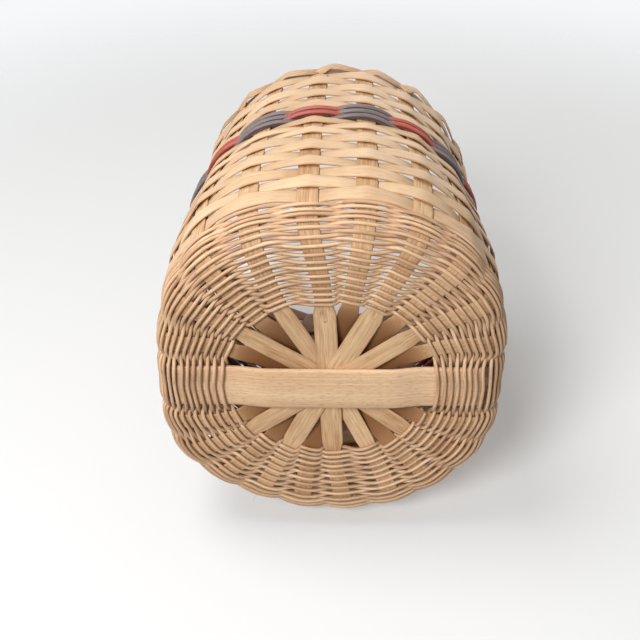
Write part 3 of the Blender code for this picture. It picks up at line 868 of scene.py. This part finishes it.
def drill(item):  # the hole for the pins, cut right through both sides
    mesh = bmesh.new()
    wide, long = hoop["bore"], hoop["boreLong"]
    bmesh.ops.create_cone(mesh, cap_ends=True, segments=32, radius1=wide, radius2=wide, depth=long)
    bmesh.ops.rotate(mesh, verts=mesh.verts[:], matrix=Matrix.Rotation(math.pi / 2, 3, "Y"))
    bmesh.ops.translate(mesh, verts=mesh.verts[:], vec=(0, 0, hoop["pinHeight"]))
    bore = added("bore", mesh)
    cut = item.modifiers.new("bore", "BOOLEAN")
    cut.operation, cut.solver, cut.object = "DIFFERENCE", "EXACT", bore
    finished = bpy.data.meshes.new_from_object(item.evaluated_get(bpy.context.evaluated_depsgraph_get()))
    item.modifiers.clear()
    item.data = finished
    bpy.data.objects.remove(bore)


def woodStrip(name, half, thick, look, slot, node, rider):
    line = [(Vector((-place.x, place.y, place.z)), width) for place, width in half[:0:-1]] + half
    centre = np.array([tuple(place) for place, width in line])
    widths = np.array([width for place, width in line])
    along = np.gradient(centre, axis=0)
    along /= np.linalg.norm(along, axis=1)[:, None]
    across = np.array([(0.0, 1.0, 0.0)] * len(line)) * (widths / 2)[:, None]
    outward = np.cross(along, across)
    outward /= np.linalg.norm(outward, axis=1)[:, None]
    tones = 0.55 + wander(len(line), 0.15, (1, 2, 4))
    item = bentStrip(name, centre, across, outward, thick, woodSection, False, tones)
    drill(item)
    dress(item, look, slot, node, rider=rider)


def straightRun(x, start, end, width, steps):  # upright, as places and widths
    return [(Vector((x, 0, between(start, end, step / steps))), width) for step in range(1, steps + 1)]


def roundEnd(x, long, width):  # from the pin upwards, or downwards where long is below 0
    points = []
    for step in range(1, 12):
        turn = step / 11.4 * math.pi / 2
        points.append((Vector((x, 0, hoop["pinHeight"] + long * math.sin(turn))), width * math.cos(turn)))
    return points


print("stage: hoop and handle")
centreOffset = hoop["proud"] - hoop["thick"] / 2
hoopHalf = []
for step in range(hoop["flatSteps"] + 1):
    place = Vector((hoop["flat"] * step / hoop["flatSteps"], 0, hoop["thick"] / 2))
    hoopHalf.append((place, hoop["width"]))
for step in range(1, hoop["riseSteps"]):
    share = step / hoop["riseSteps"]
    level = between(hoop["thick"] / 2, baseLevel - centreOffset, ease(share))
    hoopHalf.append((Vector((between(hoop["flat"], body["weaveStart"], share), 0, level)), hoop["width"]))
path = 0.0
while path < pathAt(body["weaveTop"]):
    point, side, rise, outward = skinFrame(0.0, path)
    hoopHalf.append((point + outward * centreOffset, hoop["width"]))
    path += hoop["wallStep"]
earX = skinPoint(0.0, pathAt(body["weaveTop"])).x + centreOffset
for step in range(hoop["earSteps"] + 1):
    share = step / hoop["earSteps"]
    level = between(body["weaveTop"], hoop["earFoot"], share)
    place = Vector((earX - hoop["earLean"] * ease(share), 0, level))
    hoopHalf.append((place, between(hoop["width"], hoop["earWidth"], ease(share))))
earX -= hoop["earLean"]
hoopHalf += straightRun(earX, hoop["earFoot"], hoop["pinHeight"], hoop["earWidth"], 5)
hoopHalf += roundEnd(earX, hoop["earWidth"] / 2, hoop["earWidth"])
woodStrip("hoopStrip", hoopHalf, hoop["thick"], hoopWood, "hoop_wood", "frame_hoop", "basket")

handle = {
    "rise": 0.150,
    "thick": 0.0050,
    "leg": 0.020,
    "grip": 0.027,
    "end": 0.012,
    "straight": 0.022,
    "square": 2.6,
    "gap": 0.0003,  # between the ear and the leg beside it
    "bowSteps": 60,
    "bowShare": 0.84,
    "legSteps": 8,
}
halfSpan = earX - centreOffset + hoop["proud"] + handle["gap"] + handle["thick"] / 2
handleHalf = []
for step in range(handle["bowSteps"] + 1):
    turnShare = 1 - step / handle["bowSteps"] * handle["bowShare"]
    turn = turnShare * math.pi / 2
    power = 2 / handle["square"]
    x = halfSpan * max(math.cos(turn), 0.0) ** power if step else 0.0
    z = hoop["pinHeight"] + handle["rise"] * math.sin(turn) ** power
    handleHalf.append((Vector((x, 0, z)), between(handle["leg"], handle["grip"], ease(turnShare))))
startX, startZ = handleHalf[-1][0].x, handleHalf[-1][0].z
footZ = hoop["pinHeight"] + handle["straight"]
for step in range(1, handle["legSteps"] + 1):
    share = step / handle["legSteps"]
    place = Vector((between(startX, halfSpan, ease(share)), 0, between(startZ, footZ, share)))
    handleHalf.append((place, handle["leg"]))
handleHalf += straightRun(halfSpan, footZ, hoop["pinHeight"], handle["leg"], 4)
handleHalf += roundEnd(halfSpan, -handle["end"], handle["leg"])
woodStrip("handleBow", handleHalf, handle["thick"], handleWood, "handle_wood", "swing_handle", "handle")

hairs = {
    "count": 90,
    "thick": 0.00016,
    "long": (0.004, 0.015),
    "points": 8,
    "aside": 0.08,
    "curl": 0.35,
    "rise": 0.15,
    "lift": 0.0015,
    "hoopLift": 0.0030,
    "ground": 0.0003,
    "tip": 0.5,
    "tone": 0.7,
}
print("stage: loose fibres")
mesh = bmesh.new()
for number in range(hairs["count"]):
    rib = random.randrange(ribCount)
    onBase, onWall = random.uniform(0.0, wallStart), random.uniform(wallStart, pathAt(body["weaveTop"]))
    path = random.choice((onBase, onWall))
    angle = ribAngle(rib, path) + random.uniform(-hairs["aside"], hairs["aside"])
    point, side, rise, outward = skinFrame(angle, path)
    heading = (side * random.uniform(-1, 1) + rise * random.uniform(-1, 1)).normalized()
    curl = (side * random.uniform(-1, 1) + rise * random.uniform(-1, 1) + outward * 0.3).normalized()
    size = random.uniform(*hairs["long"])
    lift = hairs["hoopLift"] if isHoop(rib) else hairs["lift"]
    centre = []
    for step in range(hairs["points"]):
        t = step / (hairs["points"] - 1)
        place = point + heading * size * t + curl * size * hairs["curl"] * t * t
        centre.append(tuple(place + outward * (lift + size * hairs["rise"] * t * t)))
    centre = np.array(centre)
    centre[:, 2] = np.maximum(centre[:, 2], hairs["ground"])
    line = np.hstack((centre, np.array([tuple(outward)] * len(centre))))
    centre, rises, outwards = squared(line, False)
    across = rises * hairs["thick"] / 2 * np.linspace(1.0, hairs["tip"], len(centre))[:, None]
    tones = [hairs["tone"]] * len(centre)
    single = bentStrip("fibre", centre, across, outwards, hairs["thick"], hairSection, False, tones)
    mesh.from_mesh(single.data)
    bpy.data.objects.remove(single)
dress(added("looseFibres", mesh), flatReed, "flat_reed")

brassLook = {
    "bright": tint(214, 178, 108),
    "dull": tint(150, 112, 62),
    "rough": 0.22,
    "specular": 0.5,
    "bump": 0.2,
    "bumpDepth": 0.0001,
}


def brassMaterial(look):
    material, shader, place = newMaterial("pinBrass")
    cloud = place.stretched(420, 420, 420).grain(3.0, 0.6)
    turned = place.stretched(2600, 500, 500).grain(2.0, 0.5)
    colour = cloud.span(0.35, 0.7).blend(look["bright"], look["dull"])
    shader.inputs["Metallic"].default_value = 1.0
    finishShader(shader, colour, cloud * 0.3 + look["rough"], turned, look)
    return material


pinBrass = brassMaterial(brassLook)
for node in ("pivot_pin_left", "pivot_pin_right", "pin_washer_left", "pin_washer_right"):
    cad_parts[node].data.materials.clear()
    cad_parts[node].data.materials.append(pinBrass)

print("stage: floor, light and camera")
sheet = {
    "size": 2.4,
    "colour": (0.76, 0.78, 0.80, 1),
    "rough": 0.9,
    "specular": 0.1,
    "fade": (0.384, 1.008),
    "share": 0.78,  # of the sheet over the background
}


def paleSheet(name, place, turn):  # shows on its front only and fades into the background
    mesh = bmesh.new()
    bmesh.ops.create_grid(mesh, x_segments=1, y_segments=1, size=sheet["size"] / 2)
    bmesh.ops.rotate(mesh, verts=mesh.verts[:], matrix=Matrix.Rotation(turn, 3, "X"))
    bmesh.ops.translate(mesh, verts=mesh.verts[:], vec=place)
    item = added(name, mesh)
    material, shader, spot = newMaterial(name)
    item.data.materials.append(material)
    shader.inputs["Base Color"].default_value = sheet["colour"]
    shader.inputs["Roughness"].default_value = sheet["rough"]
    shader.inputs["Specular IOR Level"].default_value = sheet["specular"]
    tree = spot.tree
    fade = spot.away(place).span(*sheet["fade"])
    back = spot.node("ShaderNodeNewGeometry", None, None, "Backfacing")
    seen = spot.node("ShaderNodeLightPath", None, None, "Is Camera Ray")
    hidden = (1 - (1 - fade) * (1 - back) * seen * sheet["share"]).held()
    clear = spot.node("ShaderNodeBsdfTransparent")
    mixed = hidden.node("ShaderNodeMixShader", None, {0: hidden, 1: Wire(tree, shader.outputs[0]), 2: clear})
    tree.links.new(mixed.socket, tree.nodes["Material Output"].inputs["Surface"])


paleSheet("restingSheet", (0, 0.1385, 0.35), math.pi / 2)
paleSheet("floorSheet", (0, 0, -0.0006), 0.0)

room = {"light": (0.27, 0.25, 0.225, 1), "seen": (0.93, 0.94, 0.955, 1)}  # seen paler than it lights
world = bpy.data.worlds.new("paleRoom")
bpy.context.scene.world = world
world.use_nodes = True
sky = world.node_tree
ray = Wire(sky, sky.nodes.new("ShaderNodeLightPath").outputs["Is Camera Ray"])
glossy = Wire(sky, ray.socket.node.outputs["Is Glossy Ray"])
through = Wire(sky, ray.socket.node.outputs["Is Transmission Ray"])
skyColour = (ray + glossy + through).held().blend(room["light"], room["seen"])
sky.links.new(skyColour.socket, sky.nodes["Background"].inputs["Color"])


def areaLight(name, place, target, size, power, colour):
    data = bpy.data.lights.new(name, "AREA")
    data.shape, data.size, data.energy, data.color = "DISK", size, power, colour
    lamp = bpy.data.objects.new(name, data)
    bpy.context.scene.collection.objects.link(lamp)
    lamp.location = place
    lamp.rotation_euler = (Vector(target) - Vector(place)).to_track_quat("-Z", "Y").to_euler()


areaLight("windowLight", (-0.70, -1.75, 0.10), (0, 0, 0.10), 1.0, 19, (1.0, 0.985, 0.965))
areaLight("frontLight", (-0.60, -1.05, -1.15), (0, 0, 0.05), 0.7, 26, (1.0, 0.985, 0.975))
areaLight("topLight", (0.3, -0.2, 1.9), (0, 0, 0.2), 1.2, 7, (1.0, 0.99, 0.98))
areaLight("rearLight", (0.6, 1.6, 1.0), (0, 0, 0.2), 1.2, 7, (1.0, 0.99, 0.98))

shot = {
    "place": (0.0196, -0.4486, -0.5319),
    "pitch": math.radians(36.26),
    "yaw": math.radians(0.39),
    "roll": math.radians(3.70),
    "turn": math.radians(4.25),
    "lens": 57.5,
}


def turnedPair(first, second, turn):
    cos, sin = math.cos(turn), math.sin(turn)
    return first * cos + second * sin, second * cos - first * sin


cameraData = bpy.data.cameras.new("camera")
camera = bpy.data.objects.new("camera", cameraData)
bpy.context.scene.collection.objects.link(camera)
ahead = Vector((0, math.sin(shot["pitch"]), math.cos(shot["pitch"])))
upward = Vector((0, -math.cos(shot["pitch"]), math.sin(shot["pitch"])))
ahead, right = turnedPair(ahead, Vector((1, 0, 0)), shot["yaw"])
right, upward = turnedPair(right, upward, shot["roll"])
aboutZ = Matrix.Rotation(shot["turn"], 3, "Z")
axes = Matrix([aboutZ @ right, aboutZ @ upward, aboutZ @ -ahead]).transposed()
camera.matrix_world = Matrix.Translation(shot["place"]) @ axes.to_4x4()
cameraData.lens = shot["lens"]
cameraData.sensor_width = 36
cameraData.clip_start = 0.01
bpy.context.scene.camera = camera
bpy.context.scene.view_settings.view_transform = "Standard"
